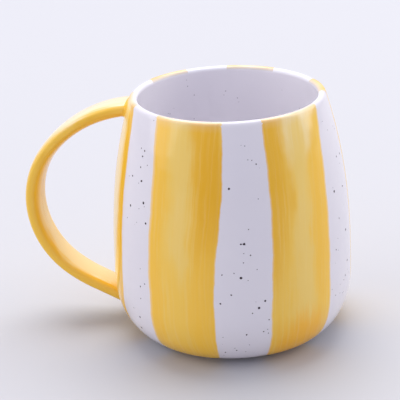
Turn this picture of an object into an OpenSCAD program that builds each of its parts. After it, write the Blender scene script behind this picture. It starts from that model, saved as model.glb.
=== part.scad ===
// Hand-thrown stoneware mug with a strap handle and six brushed upright stripes.
// Units are millimetres, +Z is up and the origin sits on the mug's axis in the resting plane.
// The handle points along -X, the front of the mug faces -Y.

/* [Vessel] */
// Height from the resting plane to the top of the lip
mug_height = 101; // [84:1:122]
// Diameter over the rim
rim_d = 78; // [65:1:94]
// Diameter at the widest part of the belly
belly_d = 98; // [88:1:118]
// Height of the widest part
belly_z = 24; // [20:1:29]
// How late the wall pulls in towards the rim, 2 is a plain parabola
shoulder = 2.45; // [2:0.05:3]
// Wall thickness with the glaze on both faces
wall = 3.8; // [3.2:0.1:4.6]
// Thickness of the lip that the wall thins to
lip_t = 3.2; // [2.7:0.1:3.8]
// Foot ring diameter as a share of the belly diameter
foot_share = 0.69; // [0.6:0.01:0.72]
// Height of the bare foot ring below the glaze line
foot_step = 1.6; // [1.3:0.1:2]
// Width of the ring the mug stands on
foot_ring = 4; // [3.2:0.1:5]

/* [Handle] */
// Width of the strap, across the mug
strap_w = 15; // [12:0.5:18]
// Thickness of the strap
strap_t = 6.4; // [5.3:0.1:7.7]
// How square the strap's section is, 2 is an oval
strap_edge = 2.8; // [2:0.1:3]
// Distance of the upper arm's middle below the lip
upper_drop = 6.5; // [6:0.1:9]
// Size of the loop as a share of the mug's height
loop_size = 1; // [0.83:0.01:1.02]
// Reach of the slip bead worked in round each joint
bead = 1.5; // [1.2:0.1:1.8]

/* [Glaze] */
// Thickness of the white glaze
glaze = 0.3; // [0.25:0.05:0.4]
// Thickness of the brushed yellow colour over the glaze
stripe = 0.15; // [0.12:0.01:0.2]
// Widening of every stripe, degrees on each side
stripe_grow = 0; // [-4:0.5:3]

/* [Hidden] */
$fn = 96;

rim_r = rim_d / 2;
belly_r = belly_d / 2;
foot_r = belly_r * foot_share;
heel_r = foot_r + 1;                       // where the glaze line runs, just outside the foot
lip_r = lip_t / 2;
rise = mug_height - lip_r - belly_z;
lean = atan((belly_r - rim_r) * shoulder / rise);   // how far the wall leans in under the lip
top_z = mug_height - lip_r * (1 - sin(lean));       // where the wall ends and the lip begins
lip_c = [rim_r - lip_r * cos(lean), mug_height - lip_r];
recess_z = foot_step + 0.2;                // trimmed hollow inside the foot ring
recess_draft = 1.2;
bevel = 0.5;
heel_n = 12;                               // steps along each stretch of the outline
wall_n = 20;
lip_n = 10;
section_n = 28;

stoneware = [0.86, 0.82, 0.76];
white = [0.93, 0.92, 0.95];
yellow = [0.93, 0.72, 0.25];
ochre = [0.88, 0.62, 0.12];

// ---- the vessel's outline ------------------------------------------------------------------
// A point on the finished outer face together with its outward normal: heel curve, then wall.
function heel_pt(a) = [[heel_r + (belly_r - heel_r) * sin(a), foot_step + (belly_z - foot_step) * (1 - cos(a))],
    unit([(belly_z - foot_step) * sin(a), -(belly_r - heel_r) * cos(a)])];
function wall_pt(s) = [[belly_r - (belly_r - rim_r) * pow(s, shoulder), belly_z + (top_z - belly_z) * s],
    unit([top_z - belly_z, (belly_r - rim_r) * shoulder * pow(s, shoulder - 1)])];
function unit(v) = v / norm(v);
function sink(p, d) = p[0] - d * p[1];
function side(d) = concat([for (i = [0 : heel_n]) sink(heel_pt(90 * i / heel_n), d)],
    [for (i = [1 : wall_n]) sink(wall_pt(i / wall_n), d)]);
// The inner face, g short of the finished one: from the belly up, the wall thins towards the lip.
function thick(s) = wall - (wall - lip_t) * s * s;
function inside(g) = concat([for (i = [0 : heel_n]) sink(heel_pt(90 * i / heel_n), wall - g)],
    [for (i = [1 : wall_n]) sink(wall_pt(i / wall_n), thick(i / wall_n) - g)]);
function lip(d, from, to) = [for (i = [0 : lip_n]) let(a = from + (to - from) * i / lip_n)
    lip_c + (lip_r - d) * [cos(a), sin(a)]];
function back_to_front(v) = [for (i = [len(v) - 1 : -1 : 0]) v[i]];
function inner(v) = [for (i = [1 : len(v) - 2]) v[i]];
function tail(v) = [for (i = [1 : len(v) - 1]) v[i]];
function outer_r(z) = z <= foot_step ? heel_r
    : z < belly_z ? heel_r + (belly_r - heel_r) * sqrt(1 - pow(1 - (z - foot_step) / (belly_z - foot_step), 2))
    : belly_r - (belly_r - rim_r) * pow(min(1, (z - belly_z) / (top_z - belly_z)), shoulder);

// The vessel as one filled shape, d below the finished face (minus is above it).
module filled(d) {
    crest = lip(d, lean, 90);
    rotate_extrude()
        polygon(concat([[0, foot_step + d]], side(d), tail(crest), [[0, crest[lip_n][1]]]));
}

module body() {
    inset = foot_r - foot_ring;
    foot = [[0, recess_z], [inset - recess_draft, recess_z], [inset, bevel], [inset + bevel, 0],
        [foot_r - bevel, 0], [foot_r, bevel], [foot_r, foot_step + glaze]];
    color(stoneware)
        rotate_extrude()
            polygon(concat(foot, side(glaze), inner(lip(glaze, lean, 180 + lean)),
                back_to_front(inside(glaze)), [[0, foot_step + wall - glaze]]));
}

module liner_glaze() {
    color(white)
        rotate_extrude()
            polygon(concat(lip(0, 90, 180 + lean), tail(back_to_front(inside(0))), [[0, foot_step + wall]],
                [[0, foot_step + wall - glaze]], inside(glaze),
                tail(back_to_front(lip(glaze, 90, 180 + lean)))));
}

module outer_glaze() {
    color(white)
        difference() {
            rotate_extrude()
                polygon(concat(side(0), tail(lip(0, lean, 90)), back_to_front(lip(glaze, lean, 90)),
                    tail(back_to_front(side(glaze)))));
            strap(0);
            joints();
        }
}

// ---- the handle ------------------------------------------------------------------------------
// A strap on three tangent bends and a straight run back into the wall near the foot.
k = loop_size * mug_height / 101;
bend_r = [52.3 * k, 36.5 * k, 55 * k];
bend_a = [91.3, 142.3, 233.3, 245.3];
root_depth = 4.5;                          // how far each end is carried into the wall before trimming
start = [-(rim_r - 3), mug_height - upper_drop];
c1 = start - bend_r[0] * spoke(bend_a[0]);
c2 = c1 + (bend_r[0] - bend_r[1]) * spoke(bend_a[1]);
c3 = c2 + (bend_r[1] - bend_r[2]) * spoke(bend_a[2]);
centres = [c1, c2, c3];
run_from = c3 + bend_r[2] * spoke(bend_a[3]);
run_way = spoke(bend_a[3] + 90);
run_len = run_until(0);

function spoke(a) = [cos(a), sin(a)];
function run_at(t) = run_from + t * run_way;
function run_until(t) = (-run_at(t)[0] < outer_r(run_at(t)[1]) - root_depth || t > 90) ? t : run_until(t + 0.5);
function section(g) = [for (i = [0 : section_n - 1]) let(a = 360 * (i + 0.5) / section_n)
    [(strap_t / 2 + g) * soft(cos(a)), (strap_w / 2 + g) * soft(sin(a))]];
function soft(v) = sign(v) * pow(abs(v), 2 / strap_edge);

module bend(i, to, g) {
    translate([centres[i][0], 0, centres[i][1]])
        rotate([90, 0, 0])
            rotate([0, 0, bend_a[i]])
                rotate_extrude(angle = to - bend_a[i])
                    translate([bend_r[i], 0])
                        polygon(section(g));
}

module run(from, to, g) {
    p = run_at(from);
    translate([p[0], 0, p[1]])
        rotate([90, 0, 0])
            rotate([0, 0, bend_a[3]])
                rotate([-90, 0, 0])
                    linear_extrude(to - from)
                        polygon(section(g));
}

// A hair's breadth of clay wiped over the line where one bend runs into the next.
module smoothing(i, g) {
    p = centres[i] + bend_r[i] * spoke(bend_a[i + 1]);
    translate([p[0], 0, p[1]])
        rotate([90, 0, 0])
            rotate([0, 0, bend_a[i + 1]])
                rotate([-90, 0, 0])
                    linear_extrude(0.6, center = true)
                        polygon(section(g + 0.03));
}

module strap(g) {
    for (i = [0 : 2]) bend(i, bend_a[i + 1], g);
    run(0, run_len, g);
    for (i = [0 : 2]) smoothing(i, g);
}

module handle() {
    color(yellow)
        difference() {
            strap(0);
            filled(glaze);
        }
}

// A bead of slip round the strap's root: wide and low at the wall, narrower above.
bead_turn = 24;                            // stretch of the upper bend that the bead can reach
bead_run = 16;                             // and of the straight run, past both faces of the bead
bead_steps = [[1, 0.5], [0.5, 1]];

module upper_bead() {
    for (step = bead_steps)
        intersection() {
            bend(0, bend_a[0] + bead_turn, step[0] * bead);
            filled(-step[1] * bead);
        }
}

module lower_bead() {
    for (step = bead_steps)
        intersection() {
            run(run_len - bead_run, run_len, step[0] * bead);
            filled(-step[1] * bead);
        }
}

module joints() {
    upper_bead();
    lower_bead();
}

module upper_joint() {
    color(ochre)
        difference() {
            upper_bead();
            strap(0);
            filled(glaze);
        }
}

module lower_joint() {
    color(ochre)
        difference() {
            lower_bead();
            strap(0);
            filled(glaze);
        }
}

// ---- the brushed stripes ---------------------------------------------------------------------
// Each edge wanders as the brush did: where it starts at the foot, its lean, its flare at the
// rim, and a slow wave (size, turns, phase). Degrees round the mug from the front, right is plus.
FRONT_LEFT = [[-32.9, 2.4, -3.4, 0.4, 1.9, -130], [0.7, 6.3, 0.6, 1.1, 1.3, 0]];
FRONT_RIGHT = [[27.6, 1.4, 0, 0.5, 1.2, 90], [61.2, 3.4, 6.4, 0.3, 1, 0]];
RIGHT_BACK = [[91, 0.5, 5, 0.6, 1.1, 40], [126.5, -1, -3.5, 0.7, 1.4, 160]];
BACK = [[155.5, 1, 1.5, 0.6, 1.2, 200], [192.5, -1, -1.5, 0.7, 1.1, 20]];
BACK_LEFT = [[214.5, 1, 2.5, 0.6, 1.3, 120], [250, -1, -1, 0.5, 1, 250]];
HANDLE_SIDE = [[267, 2, 5, 0.5, 1.2, 70], [303.7, 5.2, -8, 0.4, 1.4, 210]];

function edge(e, s) = e[0] + e[1] * s + e[2] * pow(s, 8) + e[3] * cos(360 * e[4] * s + e[5]);
stripe_top = 66;                           // how far round the lip the brush carried, degrees
levels = concat([for (a = [17, 34, 56, 79]) foot_step + (belly_z - foot_step) * (1 - cos(a))],
    [for (i = [0 : 8]) belly_z + (top_z - belly_z) * (i + 0.63) / 9]);
function across(e, grow, mid) = [for (z = levels)
    [outer_r(z) * sin(edge(e, z / mug_height) + grow - mid), z]];
function lifted(v, z) = [v[0], z];

module brushed(pair, tint) {
    mid = (pair[0][0] + pair[1][0]) / 2;
    left = across(pair[0], -stripe_grow, mid);
    right = across(pair[1], stripe_grow, mid);
    last = len(levels) - 1;
    low = foot_step - 2;
    high = mug_height + 2;
    outline = concat([lifted(left[0], low)], left, [lifted(left[last], high), lifted(right[last], high)],
        back_to_front(right), [lifted(right[0], low)]);
    span = pair[1][0] - pair[0][0] + 30;
    color(tint)
        rotate([0, 0, mid])
            intersection() {
                rotate([0, 0, -90 - span / 2])
                    rotate_extrude(angle = span)
                        polygon(concat(tail(side(-stripe)), tail(lip(-stripe, lean, stripe_top)),
                            back_to_front(lip(0, lean, stripe_top)), tail(back_to_front(tail(side(0))))));
                rotate([90, 0, 0])
                    translate([0, 0, 12])
                        linear_extrude(belly_r)
                            polygon(outline);
            }
}

module front_left_stripe() {
    brushed(FRONT_LEFT, yellow);
}

module front_right_stripe() {
    brushed(FRONT_RIGHT, yellow);
}

module right_back_stripe() {
    brushed(RIGHT_BACK, yellow);
}

module back_stripe() {
    brushed(BACK, yellow);
}

module back_left_stripe() {
    brushed(BACK_LEFT, yellow);
}

module handle_side_stripe() {
    color(yellow)
        difference() {
            brushed(HANDLE_SIDE, yellow);
            strap(0);
            joints();
        }
}

body();
liner_glaze();
outer_glaze();
handle();
upper_joint();
lower_joint();
front_left_stripe();
front_right_stripe();
right_back_stripe();
back_stripe();
back_left_stripe();
handle_side_stripe();
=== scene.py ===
"""Looks for a hand-thrown stoneware mug: glossy cool white glaze with iron specks, six brushed
yellow stripes and a yellow strap handle. Every mesh is made in metres in the CAD's own frame:
+Z up, handle along -X, front towards -Y."""
import math
import random

import bpy
from mathutils import Matrix, Vector


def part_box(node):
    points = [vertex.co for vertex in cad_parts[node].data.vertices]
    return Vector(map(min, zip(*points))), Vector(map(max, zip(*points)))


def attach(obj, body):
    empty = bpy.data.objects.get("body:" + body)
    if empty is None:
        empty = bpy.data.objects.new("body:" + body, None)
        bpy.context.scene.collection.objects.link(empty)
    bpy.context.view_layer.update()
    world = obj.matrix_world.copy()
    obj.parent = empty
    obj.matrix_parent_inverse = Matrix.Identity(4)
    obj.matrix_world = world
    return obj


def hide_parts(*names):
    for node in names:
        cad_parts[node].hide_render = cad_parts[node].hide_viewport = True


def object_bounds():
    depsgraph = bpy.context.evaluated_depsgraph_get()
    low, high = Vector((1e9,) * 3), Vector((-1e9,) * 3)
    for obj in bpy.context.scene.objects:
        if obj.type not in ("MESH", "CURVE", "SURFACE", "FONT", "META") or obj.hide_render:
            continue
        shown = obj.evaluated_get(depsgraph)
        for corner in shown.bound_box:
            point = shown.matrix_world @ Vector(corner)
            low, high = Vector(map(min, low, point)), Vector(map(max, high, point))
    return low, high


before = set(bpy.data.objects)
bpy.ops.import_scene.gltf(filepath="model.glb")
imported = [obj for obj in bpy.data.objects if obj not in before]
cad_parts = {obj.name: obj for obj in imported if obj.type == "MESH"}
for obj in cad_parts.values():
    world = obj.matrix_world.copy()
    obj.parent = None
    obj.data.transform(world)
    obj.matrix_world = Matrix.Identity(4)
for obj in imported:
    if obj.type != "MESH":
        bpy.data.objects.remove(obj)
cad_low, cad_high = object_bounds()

MM = 0.001

# ---- the vessel's form: overall sizes from the frame, the curve's own numbers as in the CAD ----
glaze_low, glaze_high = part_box("outer_glaze")
HEIGHT = glaze_high.z
GLAZE_LINE = glaze_low.z                      # bottom edge of the glaze, above the bare foot
STRIPE = 0.15 * MM                            # the stripes stand this much proud of the glaze
BELLY_R = cad_high.y - STRIPE
BELLY_Z = 24 * MM
RIM_R = 39 * MM
SHOULDER = 2.45
WALL = 3.8 * MM
LIP_T = 3.2 * MM
FOOT_R = 0.69 * BELLY_R
FOOT_RING = 4 * MM
HEEL_R = FOOT_R + 1 * MM
GLAZE = 0.3 * MM
SKIN = 0.01 * MM                              # the least step that keeps one coat off the next
LIP_R = LIP_T / 2
LEAN = math.atan((BELLY_R - RIM_R) * SHOULDER / (HEIGHT - LIP_R - BELLY_Z))
TOP_Z = HEIGHT - LIP_R * (1 - math.sin(LEAN))
LIP_CENTRE = (RIM_R - LIP_R * math.cos(LEAN), HEIGHT - LIP_R)


def unit(a, b):
    size = math.hypot(a, b)
    return a / size, b / size


def heel(share):
    """Point and outward normal (r, z, nr, nz) on the curve that turns up from the foot."""
    a = math.radians(90 * share)
    r = HEEL_R + (BELLY_R - HEEL_R) * math.sin(a)
    z = GLAZE_LINE + (BELLY_Z - GLAZE_LINE) * (1 - math.cos(a))
    return (r, z, *unit((BELLY_Z - GLAZE_LINE) * math.sin(a), -(BELLY_R - HEEL_R) * math.cos(a)))


def wall(share):
    """The same on the long wall from the belly to the lip."""
    drop = BELLY_R - RIM_R
    slope = drop * SHOULDER * share ** (SHOULDER - 1)
    return (BELLY_R - drop * share ** SHOULDER, BELLY_Z + (TOP_Z - BELLY_Z) * share,
            *unit(TOP_Z - BELLY_Z, slope))


def lip(degrees):
    a = math.radians(degrees)
    return (LIP_CENTRE[0] + LIP_R * math.cos(a), LIP_CENTRE[1] + LIP_R * math.sin(a),
            math.cos(a), math.sin(a))


def outer_radius(z):
    """Radius of the finished outer face at a height."""
    if z <= GLAZE_LINE:
        return HEEL_R
    if z < BELLY_Z:
        up = 1 - (z - GLAZE_LINE) / (BELLY_Z - GLAZE_LINE)
        return HEEL_R + (BELLY_R - HEEL_R) * math.sqrt(1 - up * up)
    return BELLY_R - (BELLY_R - RIM_R) * min(1.0, (z - BELLY_Z) / (TOP_Z - BELLY_Z)) ** SHOULDER


def side(steps_heel=20, steps_wall=64):
    return ([heel(i / steps_heel) for i in range(steps_heel + 1)]
            + [wall(i / steps_wall) for i in range(1, steps_wall + 1)])


def lip_run(start, end, steps=12):
    return [lip(start + (end - start) * i / steps) for i in range(1, steps + 1)]


def inside(glaze, steps_heel=20, steps_wall=64):
    """The inner face as (r, z): the wall thins from the belly up to the lip."""
    face = [sunk(heel(i / steps_heel), WALL - glaze) for i in range(steps_heel + 1)]
    for i in range(1, steps_wall + 1):
        share = i / steps_wall
        face.append(sunk(wall(share), WALL - (WALL - LIP_T) * share ** 2 - glaze))
    return face


def sunk(point, depth):
    r, z, nr, nz = point
    return r - depth * nr, z - depth * nz


def thrown(azimuth, z):
    """How far the potter's hands left the wall inside its true circle: slow waves and faint rings."""
    wave = 0.5 + 0.5 * math.sin(2 * azimuth + 1.1 + 18 * z)
    rings = 0.5 + 0.5 * math.cos(2 * math.pi * z / (6.5 * MM) + 0.9 * math.sin(azimuth + 0.5))
    return -(0.10 * wave + 0.025 * rings) * MM


def place(r, z, azimuth, lift=0.0):
    """A point round the mug. Azimuth 0 is the front, and it grows towards the right."""
    r = r + lift + thrown(azimuth, z)
    return Vector((r * math.sin(azimuth), -r * math.cos(azimuth), z))


# ---- mesh helpers ---------------------------------------------------------------------------
def mesh_object(name, points, faces, material, slot, *nodes):
    mesh = bpy.data.meshes.new(name)
    mesh.from_pydata([tuple(p) for p in points], [], faces)
    mesh.polygons.foreach_set("use_smooth", [True] * len(mesh.polygons))
    mesh.update()
    piece = bpy.data.objects.new(name, mesh)
    bpy.context.scene.collection.objects.link(piece)
    mesh.materials.append(material)
    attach(piece, "root")
    if nodes:
        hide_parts(*nodes)
    return piece


def grid_faces(rows, columns, closed):
    """Quads over rows of points, each row one turn or one strip across."""
    faces = []
    across = columns if closed else columns - 1
    for i in range(rows - 1):
        for j in range(across):
            k = (j + 1) % columns
            faces.append((i * columns + j, i * columns + k, (i + 1) * columns + k, (i + 1) * columns + j))
    return faces


def brush_map(piece, coordinates, name="Brush"):
    """A UV map holding brush directions in millimetres, one pair for each vertex."""
    layer = piece.data.uv_layers.new(name=name)
    for loop in piece.data.loops:
        layer.data[loop.index].uv = coordinates[loop.vertex_index]


def turned(name, outline, material, slot, *nodes, around=192):
    """A surface of revolution through (r, z) points that a hand has made a little uneven."""
    points = []
    for r, z in outline:
        for j in range(around):
            azimuth = 2 * math.pi * j / around
            points.append(place(r, z, azimuth) if r > 1 * MM else Vector((0, 0, z)))
    faces = grid_faces(len(outline), around, True)
    return mesh_object(name, points, faces, material, slot, *nodes)


# ---- node helpers ---------------------------------------------------------------------------
class Nodes:
    """A small wrapper that keeps a material's node code readable."""

    def __init__(self, name):
        self.material = bpy.data.materials.new(name)
        self.material.use_nodes = True
        self.tree = self.material.node_tree
        self.shader = self.tree.nodes["Principled BSDF"]

    def add(self, kind, **settings):
        node = self.tree.nodes.new(kind)
        for key, value in settings.items():
            setattr(node, key, value)
        return node

    def link(self, source, target):
        self.tree.links.new(source, target)

    def math(self, operation, a, b=0.0, clamp=False):
        node = self.add("ShaderNodeMath", operation=operation, use_clamp=clamp)
        for socket, value in zip(node.inputs, (a, b)):
            if isinstance(value, (int, float)):
                socket.default_value = value
            else:
                self.link(value, socket)
        return node.outputs[0]

    def noise(self, vector, scale, detail=3.0, roughness=0.5):
        node = self.add("ShaderNodeTexNoise")
        node.inputs["Scale"].default_value = scale
        node.inputs["Detail"].default_value = detail
        node.inputs["Roughness"].default_value = roughness
        self.link(vector, node.inputs["Vector"])
        return node.outputs["Fac"]

    def scaled(self, vector, x, y, z=1.0, shift=(0, 0, 0)):
        node = self.add("ShaderNodeMapping")
        node.inputs["Scale"].default_value = (x, y, z)
        node.inputs["Location"].default_value = shift
        self.link(vector, node.inputs["Vector"])
        return node.outputs[0]

    def ramp(self, factor, stops, ease="EASE"):
        node = self.add("ShaderNodeValToRGB")
        node.color_ramp.interpolation = ease
        elements = node.color_ramp.elements
        while len(elements) < len(stops):
            elements.new(0.5)
        for element, (position, colour) in zip(elements, stops):
            element.position = position
            element.color = (*colour, 1)
        self.link(factor, node.inputs[0])
        return node.outputs["Color"]

    def mix(self, factor, a, b):
        node = self.add("ShaderNodeMix", data_type="RGBA")
        for socket, value in ((node.inputs[0], factor), (node.inputs[6], a), (node.inputs[7], b)):
            if isinstance(value, tuple):
                socket.default_value = (*value, 1)
            elif isinstance(value, (int, float)):
                socket.default_value = value
            else:
                self.link(value, socket)
        return node.outputs[2]

    def object_space(self):
        return self.add("ShaderNodeTexCoord").outputs["Object"]

    def uv(self, name):
        return self.add("ShaderNodeUVMap", uv_map=name).outputs[0]

    def bump(self, height, distance, strength=1.0):
        node = self.add("ShaderNodeBump")
        node.inputs["Distance"].default_value = distance
        node.inputs["Strength"].default_value = strength
        self.link(height, node.inputs["Height"])
        self.link(node.outputs[0], self.shader.inputs["Normal"])

    def set(self, **values):
        for key, value in values.items():
            self.shader.inputs[key.replace("_", " ")].default_value = value


WHITE = (0.755, 0.72, 0.775)
WHITE_WARM = (0.79, 0.755, 0.79)
SPECK = (0.10, 0.085, 0.11)
CREAM = (0.94, 0.75, 0.38)
BLOND = (0.92, 0.76, 0.50)
PALE = (0.90, 0.62, 0.15)
SUNNY = (0.93, 0.57, 0.065)
GOLDEN = (0.94, 0.54, 0.04)
ORANGE = (0.95, 0.48, 0.025)
OCHRE = (0.86, 0.45, 0.01)


def gloss(n, space):
    """The glassy face that every glaze here shares, with slightly duller patches."""
    n.set(IOR=1.5)
    dapple = n.math("MULTIPLY", n.noise(space, 90, 2), 0.12)
    n.link(n.math("ADD", dapple, 0.07), n.shader.inputs["Roughness"])


def white_glaze(name, cool, warm):
    n = Nodes(name)
    space = n.object_space()
    cloud = n.noise(space, 28, 3)
    base = n.mix(cloud, cool, warm)
    pepper = n.add("ShaderNodeTexVoronoi", feature="F1")
    pepper.inputs["Scale"].default_value = 420
    n.link(space, pepper.inputs["Vector"])
    rare = n.math("GREATER_THAN", n.noise(space, 210, 0), 0.66)
    dot = n.math("MULTIPLY", n.math("LESS_THAN", pepper.outputs["Distance"], 0.11), rare)
    n.link(n.mix(n.math("MULTIPLY", dot, 0.55), base, SPECK), n.shader.inputs["Base Color"])
    gloss(n, space)
    n.bump(n.noise(space, 300, 2), 0.02 * MM, 0.5)
    return n.material


def yellow_brushed(name, ground, colour_patches):
    """Brushed colour: a ground with softer washes and pools laid over it, all streaked along the stroke.

    The maps hold: Brush, millimetres across and up; Stroke, shares across and up; Edge, how far
    the nearest side edge is in soft widths, and millimetres down from the stroke's upper end.
    """
    n = Nodes(name)
    brush, stroke = n.uv("Brush"), n.uv("Stroke")
    edge = n.add("ShaderNodeSeparateXYZ")
    n.link(n.uv("Edge"), edge.inputs[0])
    hairs = n.noise(n.scaled(brush, 0.7, 0.022), 1.0, 3, 0.55)
    cloud = n.add("ShaderNodeTexNoise")
    cloud.inputs["Scale"].default_value = 1.0
    cloud.inputs["Detail"].default_value = 3
    n.link(n.scaled(brush, 0.11, 0.045, shift=(3, 5, 0)), cloud.inputs["Vector"])
    wander = n.add("ShaderNodeVectorMath", operation="MULTIPLY_ADD")
    wander.inputs[1].default_value = (0.34, 0.22, 0)
    n.link(cloud.outputs["Color"], wander.inputs[0])
    n.link(stroke, wander.inputs[2])
    colour = n.mix(n.math("MULTIPLY", hairs, 0.35), ground, PALE)
    for x, y, half_x, half_y, tint, strength in colour_patches:
        colour = n.mix(soft_patch(n, wander.outputs[0], hairs, x, y, half_x, half_y, strength), colour, tint)
    fine = n.math("MULTIPLY", n.math("SUBTRACT", hairs, 0.5, True), 0.6, True)
    colour = n.mix(fine, colour, CREAM)
    sideways = n.math("MULTIPLY", edge.outputs[0], 0.8)
    side_thin = n.ramp(sideways, [(0.0, grey(0.62)), (0.35, grey(0.25)), (0.8, grey(0))])
    down = n.math("MULTIPLY", edge.outputs[1], 1 / FADE_DOWN)
    fade = [(0.0, grey(0.95)), (0.12, grey(0.66)), (0.28, grey(0.34)), (0.5, grey(0.10)), (0.9, grey(0))]
    top_thin = n.ramp(down, fade, "LINEAR")
    thin = n.math("MAXIMUM", side_thin, top_thin)
    n.link(n.mix(thin, colour, WHITE_WARM), n.shader.inputs["Base Color"])
    gloss(n, n.object_space())
    n.bump(n.noise(n.scaled(brush, 0.9, 0.05), 1.0, 3), 0.05 * MM, 0.5)
    return n.material


FADE_DOWN = 6.0                                # mm from a stroke's upper end to its full colour


def grey(value):
    return value, value, value


def soft_patch(n, place_in_stroke, hairs, x, y, half_x, half_y, strength):
    """How strongly one soft-edged patch of colour covers a place, between 0 and its strength."""
    mapping = n.add("ShaderNodeMapping")
    mapping.inputs["Scale"].default_value = (1 / half_x, 1 / half_y, 0)
    mapping.inputs["Location"].default_value = (-(x + 0.17) / half_x, -(y + 0.11) / half_y, 0)
    n.link(place_in_stroke, mapping.inputs["Vector"])
    reach = n.add("ShaderNodeVectorMath", operation="LENGTH")
    n.link(mapping.outputs[0], reach.inputs[0])
    streaked = n.math("ADD", reach.outputs["Value"], n.math("MULTIPLY", n.math("SUBTRACT", hairs, 0.5), 0.9))
    fade = n.add("ShaderNodeMapRange", interpolation_type="SMOOTHSTEP")
    for socket, value in zip(("From Min", "From Max", "To Min", "To Max"), (0.45, 1.3, strength, 0.0)):
        fade.inputs[socket].default_value = value
    n.link(streaked, fade.inputs["Value"])
    return fade.outputs[0]


def yellow_handle(name):
    """The strap's colour, with painted light: its outer face and the upward-facing inner face of the lower
    arm are painted paler as painted highlight, and a darker ochre and golden band down the side towards the
    inner face is painted shade. Stroke runs 0 to 1 from its outer face to its inner one, and root to root.
    """
    n = Nodes(name)
    brush, stroke = n.uv("Brush"), n.uv("Stroke")
    hairs = n.noise(n.scaled(brush, 0.8, 0.03), 1.0, 3, 0.55)
    cloud = n.add("ShaderNodeTexNoise")
    cloud.inputs["Scale"].default_value = 1.0
    n.link(n.scaled(brush, 0.15, 0.05, shift=(4, 1, 0)), cloud.inputs["Vector"])
    wander = n.add("ShaderNodeVectorMath", operation="MULTIPLY_ADD")
    wander.inputs[1].default_value = (0.34, 0.22, 0)
    n.link(cloud.outputs["Color"], wander.inputs[0])
    n.link(stroke, wander.inputs[2])
    colour = n.mix(n.math("MULTIPLY", hairs, 0.4), SUNNY, GOLDEN)
    # Patches across and up the strap: the pale one along the outer face, the blond one by the upper root and
    # the cream one on the inner face of the lower arm are painted highlight; the ochre one and the golden
    # ones down the side are painted shade.
    colour_patches = [(0.0, 0.5, 0.34, 9, PALE, 0.85), (0.05, 0.1, 0.3, 0.4, BLOND, 0.95),
              (1.0, 0.4, 0.3, 0.4, SUNNY, 0.6),
              (1.0, 0.82, 0.3, 0.36, CREAM, 0.9), (0.6, 0.15, 0.14, 0.3, OCHRE, 0.7),
              (0.66, 0.6, 0.07, 9, GOLDEN, 0.8), (0.5, 0.75, 0.14, 0.3, GOLDEN, 0.5)]
    for x, y, half_x, half_y, tint, strength in colour_patches:
        colour = n.mix(soft_patch(n, wander.outputs[0], hairs, x, y, half_x, half_y, strength), colour, tint)
    n.link(colour, n.shader.inputs["Base Color"])
    gloss(n, n.object_space())
    n.bump(n.noise(n.scaled(brush, 0.9, 0.04), 1.0, 3), 0.06 * MM, 0.6)
    return n.material


def pooled_joint(name):
    n = Nodes(name)
    space = n.object_space()
    n.link(n.mix(n.noise(space, 350, 2), GOLDEN, OCHRE), n.shader.inputs["Base Color"])
    gloss(n, space)
    n.bump(n.noise(space, 700, 2), 0.05 * MM, 0.5)
    return n.material


def bare_clay(name):
    n = Nodes(name)
    space = n.object_space()
    cloud = n.noise(space, 60, 4)
    grog = n.noise(space, 1500, 2)
    base = n.mix(cloud, (0.62, 0.53, 0.43), (0.70, 0.62, 0.52))
    n.link(n.mix(n.math("GREATER_THAN", grog, 0.68), base, (0.40, 0.30, 0.22)), n.shader.inputs["Base Color"])
    n.set(Roughness=0.85)
    n.bump(n.noise(space, 2200, 3), 0.08 * MM, 0.7)
    return n.material


def iron_specks(name, dark, rusty):
    n = Nodes(name)
    n.link(n.mix(n.noise(n.object_space(), 260, 1), dark, rusty), n.shader.inputs["Base Color"])
    n.set(Roughness=0.12)
    return n.material


CLAY = bare_clay("bare_clay")
WHITE_GLAZE = white_glaze("white_glaze", WHITE, WHITE_WARM)
# The inside's glaze is a lighter copy of the white glaze; its extra lightness is painted light for the
# brightly lit inside.
LIGHTENED_LINER = white_glaze("liner_glaze", (0.90, 0.87, 0.92), (0.92, 0.89, 0.93))
IRON = iron_specks("iron_specks", (0.012, 0.010, 0.030), (0.07, 0.035, 0.03))
VEILED_IRON = iron_specks("veiled_iron_specks", (0.13, 0.12, 0.15), (0.22, 0.17, 0.17))
JOINT = pooled_joint("pooled_joint")

# ---- the vessel -----------------------------------------------------------------------------
inset = FOOT_R - FOOT_RING
recess = GLAZE_LINE + 0.2 * MM
clay_outline = ([(0, recess), (inset - 8 * MM, recess), (inset - 1.2 * MM, recess),
                 (inset - 0.3 * MM, 0.9 * MM), (inset, 0.5 * MM),
                 (inset + 0.2 * MM, 0.12 * MM), (inset + 0.5 * MM, 0),
                 (FOOT_R - 0.5 * MM, 0), (FOOT_R - 0.15 * MM, 0.12 * MM), (FOOT_R, 0.5 * MM),
                 (FOOT_R + 0.05 * MM, GLAZE_LINE), (HEEL_R - 0.1 * MM, GLAZE_LINE + GLAZE)]
                + [sunk(p, GLAZE) for p in side(12, 30)]
                + [sunk(p, GLAZE) for p in lip_run(math.degrees(LEAN), 180 + math.degrees(LEAN))]
                + inside(GLAZE, 12, 30)[-2::-1]
                + [(0, GLAZE_LINE + WALL - GLAZE)])
turned("clay_body", clay_outline, CLAY, "stoneware", "body", around=128)

THIN = 0.03 * MM                               # how much thinner the glaze has run over the lip
outside = ([(HEEL_R - 0.05 * MM, GLAZE_LINE + GLAZE), (HEEL_R - 0.02 * MM, GLAZE_LINE + 0.08 * MM)]
           + [sunk(p, 0) for p in side()] + [sunk(p, THIN) for p in lip_run(math.degrees(LEAN), 92)])
turned("glaze_outside", outside, WHITE_GLAZE, "white_glaze", "outer_glaze")

liner = ([sunk(p, THIN) for p in [lip(90)] + lip_run(90, 180 + math.degrees(LEAN))]
         + inside(0)[-2::-1] + [(r * MM, GLAZE_LINE + WALL) for r in (24, 12, 0)])
turned("glaze_inside", liner, LIGHTENED_LINER, "white_glaze", "liner_glaze")

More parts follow.
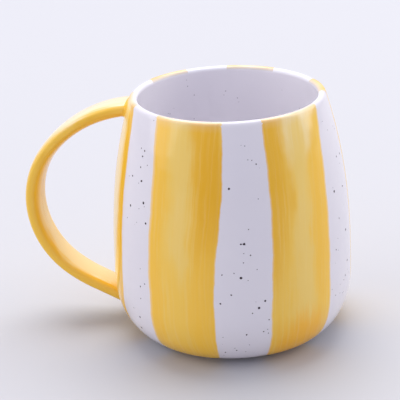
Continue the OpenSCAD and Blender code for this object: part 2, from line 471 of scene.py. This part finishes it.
# ---- the brushed stripes --------------------------------------------------------------------
# Each edge as in the CAD: degrees at the foot, lean, flare at the rim, then a wave's size, turns and phase.
EDGES = {
    "front_left_stripe": ((-32.9, 2.4, -3.4, 0.4, 1.9, -130), (0.7, 6.3, 0.6, 1.1, 1.3, 0)),
    "front_right_stripe": ((27.6, 1.4, 0, 0.5, 1.2, 90), (61.2, 3.4, 6.4, 0.3, 1, 0)),
    "right_back_stripe": ((91, 0.5, 5, 0.6, 1.1, 40), (126.5, -1, -3.5, 0.7, 1.4, 160)),
    "back_stripe": ((155.5, 1, 1.5, 0.6, 1.2, 200), (192.5, -1, -1.5, 0.7, 1.1, 20)),
    "back_left_stripe": ((214.5, 1, 2.5, 0.6, 1.3, 120), (250, -1, -1, 0.5, 1, 250)),
    "handle_side_stripe": ((267, 2, 5, 0.5, 1.2, 70), (303.7, 5.2, -8, 0.4, 1.4, 210)),
}
# How each was painted: soft width of its two edges in mm, degrees it runs over the lip, its ground
# colour, then washes (place across and up, half sizes across and up, colour, strength).
PAINT = {
    "front_left_stripe": (1.7, 0.7, 112, SUNNY, [
        (0.10, 0.5, 0.16, 9, GOLDEN, 0.8), (0.45, 0.86, 0.2, 0.42, PALE, 0.9),
        (0.93, 0.72, 0.34, 0.3, OCHRE, 1.0), (0.74, 0.95, 0.2, 0.25, OCHRE, 0.6),
        (0.50, 0.50, 0.12, 0.15, PALE, 0.7), (0.92, 0.28, 0.3, 0.3, GOLDEN, 0.8),
        (0.4, 0.05, 0.6, 0.1, GOLDEN, 0.7)]),
    "front_right_stripe": (0.9, 1.5, 112, SUNNY, [
        (0.04, 0.80, 0.28, 0.42, OCHRE, 0.75), (0.55, 0.95, 0.3, 0.18, CREAM, 0.85),
        (0.50, 0.62, 0.15, 0.45, PALE, 0.9), (0.50, 0.32, 0.22, 0.2, PALE, 0.8),
        (0.84, 0.58, 0.2, 0.35, GOLDEN, 0.8), (0.55, 0.09, 0.6, 0.15, ORANGE, 0.95)]),
    "right_back_stripe": (3.4, 1.2, 170, SUNNY, [
        (0.08, 0.5, 0.2, 9, GOLDEN, 0.7), (0.5, 0.7, 0.2, 0.4, PALE, 0.9),
        (0.88, 0.45, 0.25, 0.5, OCHRE, 0.7), (0.5, 0.08, 0.6, 0.12, GOLDEN, 0.8)]),
    "back_stripe": (1.0, 1.4, 170, GOLDEN, [
        (0.1, 0.7, 0.25, 0.4, OCHRE, 0.7), (0.5, 0.5, 0.18, 0.5, PALE, 0.9),
        (0.85, 0.3, 0.25, 0.4, OCHRE, 0.6), (0.5, 0.9, 0.3, 0.15, CREAM, 0.5)]),
    "back_left_stripe": (1.4, 0.9, 170, SUNNY, [
        (0.1, 0.4, 0.22, 0.5, GOLDEN, 0.8), (0.42, 0.75, 0.2, 0.35, PALE, 0.9),
        (0.9, 0.6, 0.28, 0.4, OCHRE, 0.85), (0.5, 0.1, 0.6, 0.14, ORANGE, 0.8)]),
    "handle_side_stripe": (1.2, 0.8, 112, SUNNY, [
        (0.15, 0.5, 0.25, 9, GOLDEN, 0.6), (0.62, 0.55, 0.2, 0.6, CREAM, 0.7),
        (0.95, 0.5, 0.14, 9, OCHRE, 0.7)]),
}
STRIPE_ACROSS = 28                             # strips across a stripe
CREST = 0.5 * MM                               # depth under the top of the lip where colour wears thin
STROKE_END = 3                                 # mm over which a stroke's upper end thins out


def edge_angle(edge, z):
    foot, slope, flare, size, turns, phase = edge
    share = z / HEIGHT
    return math.radians(foot + slope * share + flare * share ** 8
                        + size * math.cos(math.radians(360 * turns * share + phase)))


def bristle(seed, z):
    """The small uneven line that bristles leave along a stroke's edge, in metres."""
    z = z / MM
    return (0.11 * math.sin(0.37 * z + seed) + 0.05 * math.sin(1.13 * z + 2.1 * seed)
            + 0.03 * math.sin(2.9 * z + 0.7 * seed)) * MM


def brushed_stripe(name):
    left, right = EDGES[name]
    soft_left, soft_right, over, ground, colour_patches = PAINT[name]
    rows = side(20, 84)[1:] + lip_run(math.degrees(LEAN), over, 20)
    lengths = [0.0]
    for low, high in zip(rows, rows[1:]):
        lengths.append(lengths[-1] + math.hypot(high[0] - low[0], high[1] - low[1]))
    seed = len(name) + left[0]
    points, brush, stroke, edge = [], [], [], []
    for (r, z, nr, nz), run in zip(rows, lengths):
        height = min(z, TOP_Z)
        a = edge_angle(left, height) + bristle(seed, height) / r
        b = edge_angle(right, height) + bristle(seed + 40, height) / r
        left_over = (lengths[-1] - run) / MM
        crest = min(1.0, (HEIGHT - z) / CREST)
        for j in range(STRIPE_ACROSS + 1):
            share = 0.5 - 0.5 * math.cos(math.pi * j / STRIPE_ACROSS)
            azimuth = a + (b - a) * share
            feather = min(1.0, 8 * min(share, 1 - share) - 0.05, left_over / STROKE_END)
            dip = max(1 - crest, left_over < STROKE_END)
            lift = (STRIPE - SKIN) * feather * crest - (THIN - SKIN) * dip
            points.append(place(r + lift * nr, z + lift * nz, azimuth))
            from_left = (azimuth - a) * r / MM
            from_right = (b - azimuth) * r / MM
            brush.append((from_left, run / MM))
            stroke.append((share, run / lengths[-1]))
            edge.append((min(from_left / soft_left, from_right / soft_right), left_over))
    faces = grid_faces(len(rows), STRIPE_ACROSS + 1, False)
    material = yellow_brushed(name + "_colour", ground, colour_patches)
    piece = mesh_object(name + "_brushed", points, faces, material, "yellow_glaze", name)
    brush_map(piece, brush)
    brush_map(piece, stroke, "Stroke")
    brush_map(piece, edge, "Edge")


for name in EDGES:
    brushed_stripe(name)

# ---- the handle -----------------------------------------------------------------------------
# Three tangent bends and a straight run, as in the CAD; angles are of the spoke from each centre.
STRAP_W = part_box("handle")[1].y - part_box("handle")[0].y
STRAP_T = 6.4 * MM
STRAP_EDGE = 2.8
BEND_R = [52.3 * MM, 36.5 * MM, 55 * MM]
BEND_A = [91.3, 142.3, 233.3, 245.3]
UPPER_DROP = 6.5 * MM
SECTION_POINTS = 56
STRAP_RINGS = 140
ROOT_DEPTH = 0.8 * MM                          # how far the strap's skin runs on under the wall's face
LINE_STEP = 1.0 * MM
START_DEPTH = 3 * MM                           # how far inside the rim's radius the middle line starts
END_DEPTH = 10 * MM                            # and how far inside the wall's face it ends
LONGEST_RUN = 60 * MM
PAINTED_LENGTH = 140                           # mm of brushwork from root to root
SLOPE_STEP = 0.2 * MM                          # height over which the wall's slope is taken


def spoke(degrees):
    a = math.radians(degrees)
    return Vector((math.cos(a), 0, math.sin(a)))


def strap_line():
    """Points down the middle of the strap with the direction of its outer face."""
    start = Vector((-(RIM_R - START_DEPTH), 0, HEIGHT - UPPER_DROP))
    line = []
    centre = start - BEND_R[0] * spoke(BEND_A[0])
    for i, radius in enumerate(BEND_R):
        turn = BEND_A[i + 1] - BEND_A[i]
        steps = max(4, int(math.radians(turn) * radius / LINE_STEP))
        for k in range(steps):
            a = BEND_A[i] + turn * k / steps
            line.append((centre + radius * spoke(a), spoke(a)))
        if i < 2:
            centre = centre + (radius - BEND_R[i + 1]) * spoke(BEND_A[i + 1])
    corner = centre + BEND_R[2] * spoke(BEND_A[3])
    way = spoke(BEND_A[3] + 90)
    run = 0.0
    while True:
        point = corner + way * run
        line.append((point, spoke(BEND_A[3])))
        if -point.x < outer_radius(point.z) - END_DEPTH or run > LONGEST_RUN:
            return line
        run += LINE_STEP


def soft(value):
    return math.copysign(abs(value) ** (2 / STRAP_EDGE), value)


def section(angle, grow=0.0):
    """Offsets (outwards, sideways) of the strap's rounded section at an angle round it."""
    outwards = (STRAP_T / 2 + grow) * soft(math.cos(angle))
    return outwards, (STRAP_W / 2 + grow) * soft(math.sin(angle))


def hand_pulled(distance):
    """The strap's slight thick and thin, always within its full size."""
    return 0.985 + 0.012 * math.sin(distance / (11 * MM)) - 0.002


def fibre(line, angle):
    """One long fibre of the strap's skin, cut off just under the wall at both of its roots."""
    points, clear = [], []
    for k, (middle, out) in enumerate(line):
        thick, wide = section(angle)
        shape = hand_pulled(k * LINE_STEP)
        point = middle + out * thick * shape + Vector((0, wide * shape, 0))
        points.append(point)
        clear.append(math.hypot(point.x, point.y) - outer_radius(point.z) + ROOT_DEPTH)
    half = len(line) // 2
    first = max(k for k in range(half) if clear[k] <= 0)
    last = min(k for k in range(half, len(line)) if clear[k] <= 0)
    start = points[first].lerp(points[first + 1], clear[first] / (clear[first] - clear[first + 1]))
    end = points[last - 1].lerp(points[last], clear[last - 1] / (clear[last - 1] - clear[last]))
    return [start] + points[first + 1:last] + [end]


def evenly(path, count):
    """That many points along a path, evenly spaced, both ends included."""
    runs = [0.0]
    for a, b in zip(path, path[1:]):
        runs.append(runs[-1] + (b - a).length)
    spaced, k = [], 0
    for i in range(count):
        target = runs[-1] * i / (count - 1)
        while k < len(path) - 2 and runs[k + 1] < target:
            k += 1
        spaced.append(path[k].lerp(path[k + 1], (target - runs[k]) / (runs[k + 1] - runs[k])))
    return spaced


def strap():
    line = strap_line()
    angles = [2 * math.pi * j / SECTION_POINTS for j in range(SECTION_POINTS)]
    fibres = [evenly(fibre(line, angle), STRAP_RINGS) for angle in angles]
    points, brush, stroke = [], [], []
    for k in range(STRAP_RINGS):
        along = k / (STRAP_RINGS - 1)
        for path, angle in zip(fibres, angles):
            points.append(path[k])
            turn = abs(angle - 2 * math.pi * (angle > math.pi)) / math.pi
            brush.append((20 * turn + (40 if angle > math.pi else 0), PAINTED_LENGTH * along))
            stroke.append((turn, along))
    faces = grid_faces(STRAP_RINGS, SECTION_POINTS, True)
    faces.append(tuple(range(SECTION_POINTS - 1, -1, -1)))
    faces.append(tuple(range(len(points) - SECTION_POINTS, len(points))))
    colour = yellow_handle("handle_colour")
    piece = mesh_object("handle_strap", points, faces, colour, "yellow_glaze", "handle")
    brush_map(piece, brush)
    brush_map(piece, stroke, "Stroke")


def reaches_wall(line, angle, grow, clearance):
    """Where one long fibre of the strap, followed towards the mug, comes to the wall."""
    previous = None
    for middle, out in line:
        thick, wide = section(angle, grow)
        point = middle + out * thick + Vector((0, wide, 0))
        gap = math.hypot(point.x, point.y) - outer_radius(point.z) - clearance
        if previous and previous[1] > 0 >= gap:
            share = previous[1] / (previous[1] - gap)
            return previous[0].lerp(point, share)
        previous = (point, gap)
    raise ValueError("a fibre of the strap does not reach the wall")


def wall_normal(point):
    """The outward direction of the mug's outer face beside a point on it."""
    slope = (outer_radius(point.z + SLOPE_STEP) - outer_radius(point.z - SLOPE_STEP)) / (2 * SLOPE_STEP)
    return Vector((point.x, point.y, -slope * math.hypot(point.x, point.y))).normalized()


def beside(root, out, angle, reach):
    """The place on the wall that far from a fibre's root, straight away from the strap."""
    thick, wide = section(angle)
    wider, broader = section(angle, reach)
    away = out * (wider - thick) + Vector((0, broader - wide, 0))
    normal = wall_normal(root)
    away = (away - normal * away.dot(normal)).normalized()
    point = root + away * reach
    share = (outer_radius(point.z) - 0.04 * MM) / math.hypot(point.x, point.y)
    return Vector((point.x * share, point.y * share, point.z))


def joint_fillet(name, node, line):
    """A smooth bead of slip from the strap's skin down on to the wall."""
    bead = 1.4 * MM
    steps = 7                                  # across the bead
    points = []
    for j in range(SECTION_POINTS):
        angle = 2 * math.pi * j / SECTION_POINTS
        high = reaches_wall(line, angle, -0.08 * MM, bead)
        root = reaches_wall(line, angle, 0, 0)
        low = beside(root, line[-1][1], angle, bead * 0.95)
        for i in range(steps + 1):
            t = i / steps
            points.append(high * (1 - t) ** 2 + root * 2 * t * (1 - t) + low * t ** 2)
    columns = steps + 1
    faces = []
    for j in range(SECTION_POINTS):
        k = (j + 1) % SECTION_POINTS
        for i in range(steps):
            faces.append((j * columns + i, j * columns + i + 1, k * columns + i + 1, k * columns + i))
    mesh_object(name, points, faces, JOINT, "joint_glaze", node)


strap()
centre_line = strap_line()
NEAR_TOP, NEAR_FOOT = 30, 36                   # steps of the line that each root's bead looks along
joint_fillet("upper_joint_fillet", "upper_joint", list(reversed(centre_line[:NEAR_TOP])))
joint_fillet("lower_joint_fillet", "lower_joint", centre_line[-NEAR_FOOT:])

# ---- iron specks ----------------------------------------------------------------------------
# All are scattered at random with fixed seeds.
OUTER_SPECKS, INNER_SPECKS = 140, 100
SPECK_SIDES = 9


def on_stripe(degrees, z, margin):
    for left, right in EDGES.values():
        for turn in (-360, 0, 360):
            low = math.degrees(edge_angle(left, z)) - margin
            high = math.degrees(edge_angle(right, z)) + margin
            if low < degrees + turn < high:
                return True
    return False


def speck(points, faces, point, normal, radius, chance):
    """One irregular fleck, slightly domed, lying on the glaze."""
    up = Vector((0, 0, 1))
    sideways = normal.cross(up).normalized()
    upwards = sideways.cross(normal)
    first = len(points)
    stretch = chance.uniform(0.75, 1.0)
    tilt = chance.uniform(0, math.pi)
    points.append(point + normal * 0.05 * MM)
    for k in range(SPECK_SIDES):
        a = 2 * math.pi * k / SPECK_SIDES
        reach = radius * chance.uniform(0.8, 1.1)
        x, y = reach * math.cos(a), reach * stretch * math.sin(a)
        x, y = x * math.cos(tilt) - y * math.sin(tilt), x * math.sin(tilt) + y * math.cos(tilt)
        points.append(point + sideways * x + upwards * y + normal * SKIN)
    for k in range(SPECK_SIDES):
        faces.append((first, first + 1 + k, first + 1 + (k + 1) % SPECK_SIDES))


def specks_outside():
    chance = random.Random(11)
    points, faces = [], []
    placed = 0
    while placed < OUTER_SPECKS:
        degrees, z = chance.uniform(-180, 180), chance.uniform(6, 94) * MM
        if on_stripe(degrees, z, 0.8):
            continue
        placed += 1
        size = (0.2 + 0.42 * chance.random() ** 2.2) * MM
        azimuth = math.radians(degrees)
        spot = place(outer_radius(z), z, azimuth, SKIN)
        slope = (outer_radius(z + SLOPE_STEP) - outer_radius(z - SLOPE_STEP)) / (2 * SLOPE_STEP)
        normal = Vector((math.sin(azimuth), -math.cos(azimuth), -slope)).normalized()
        speck(points, faces, spot, normal, size, chance)
    mesh_object("specks_outside", points, faces, IRON, "white_glaze")


def inner_place(z):
    """Radius and outward normal (r, nr, nz) of the inner face at a height above the belly."""
    share = (z - BELLY_Z) / (TOP_Z - BELLY_Z)
    row = wall(share)
    r, _ = sunk(row, WALL - (WALL - LIP_T) * share ** 2)
    return r, row[2], row[3]


def specks_inside():
    chance = random.Random(5)
    points, faces = [], []
    for _ in range(INNER_SPECKS):
        degrees, z = chance.uniform(-180, 180), chance.uniform(26, 97) * MM
        size = (0.2 + 0.5 * chance.random() ** 2) * MM
        azimuth = math.radians(degrees)
        r, nr, nz = inner_place(z)
        spot = place(r, z, azimuth, -0.015 * MM)
        normal = -Vector((nr * math.sin(azimuth), -nr * math.cos(azimuth), nz))
        speck(points, faces, spot, normal, size, chance)
    mesh_object("specks_inside", points, faces, VEILED_IRON, "white_glaze")


specks_outside()
specks_inside()

# ---- floor, light and camera ----------------------------------------------------------------
def plain(name, colour, roughness=0.9):
    n = Nodes(name)
    n.set(Base_Color=(*colour, 1), Roughness=roughness)
    return n.material


def studio_floor():
    """A plain pale table top, 12 m across. Its far edge shows only from low angles."""
    half = 6.0
    corners = [(-half, -half, 0), (half, -half, 0), (half, half, 0), (-half, half, 0)]
    mesh = bpy.data.meshes.new("floor")
    mesh.from_pydata(corners, [], [(0, 1, 2, 3)])
    floor = bpy.data.objects.new("floor", mesh)
    mesh.materials.append(plain("pale_floor", (0.53, 0.525, 0.545)))
    bpy.context.scene.collection.objects.link(floor)


def soft_light(name, azimuth, elevation, distance, size, watts, colour):
    light = bpy.data.lights.new(name, "AREA")
    light.shape = "DISK"
    light.size = size
    light.energy = watts
    light.color = colour
    lamp = bpy.data.objects.new(name, light)
    a, e = math.radians(azimuth + CAMERA_AZIMUTH), math.radians(elevation)
    way = Vector((math.sin(a) * math.cos(e), -math.cos(a) * math.cos(e), math.sin(e)))
    lamp.location = way * distance + Vector((0, 0, HEIGHT / 2))
    lamp.rotation_euler = way.to_track_quat("Z", "Y").to_euler()
    bpy.context.scene.collection.objects.link(lamp)


CAMERA_AZIMUTH = 12.0
CAMERA_ELEVATION = 22.06
CAMERA_ROLL = -2.4
CAMERA_DISTANCE = 0.52
AIM = (-12.57 * MM, 55.24 * MM)                # to the right of the axis, and height
PICTURE_WIDTH = 36                             # mm
FOCAL_LENGTH = 114.25                          # mm


def camera():
    a, e, roll = (math.radians(v) for v in (CAMERA_AZIMUTH, CAMERA_ELEVATION, CAMERA_ROLL))
    back = Vector((math.sin(a) * math.cos(e), -math.cos(a) * math.cos(e), math.sin(e)))
    right = Vector((math.cos(a), math.sin(a), 0))
    up = back.cross(right)
    tilted_right = math.cos(roll) * right + math.sin(roll) * up
    tilted_up = math.cos(roll) * up - math.sin(roll) * right
    lens = bpy.data.cameras.new("camera")
    lens.sensor_width = PICTURE_WIDTH
    lens.lens = FOCAL_LENGTH
    lens.clip_start = 0.01
    view = bpy.data.objects.new("camera", lens)
    place_at = right * AIM[0] + Vector((0, 0, AIM[1])) + back * CAMERA_DISTANCE
    turn = Matrix((tilted_right, tilted_up, back)).transposed().to_4x4()
    view.matrix_world = Matrix.Translation(place_at) @ turn
    bpy.context.scene.collection.objects.link(view)
    bpy.context.scene.camera = view


# name, azimuth from the camera's side, elevation, distance, size, watts, colour
LIGHTS = [
    ("left", -80, 25, 1.4, 1.3, 6.2, (1.0, 0.97, 0.88)),
    ("right", 100, 25, 1.5, 1.2, 7.4, (1.0, 0.98, 0.87)),
    ("behind", 180, 66, 2.4, 2.2, 54.0, (1.0, 1.0, 1.0)),
]
studio_floor()
for settings in LIGHTS:
    soft_light(*settings)
world = bpy.data.worlds.new("studio")
world.use_nodes = True
sky = world.node_tree.nodes["Background"]
sky.inputs["Color"].default_value = (0.585, 0.60, 0.72, 1)
sky.inputs["Strength"].default_value = 1.0
bpy.context.scene.world = world
bpy.context.scene.view_settings.view_transform = "Standard"
camera()

bpy.context.view_layer.update()
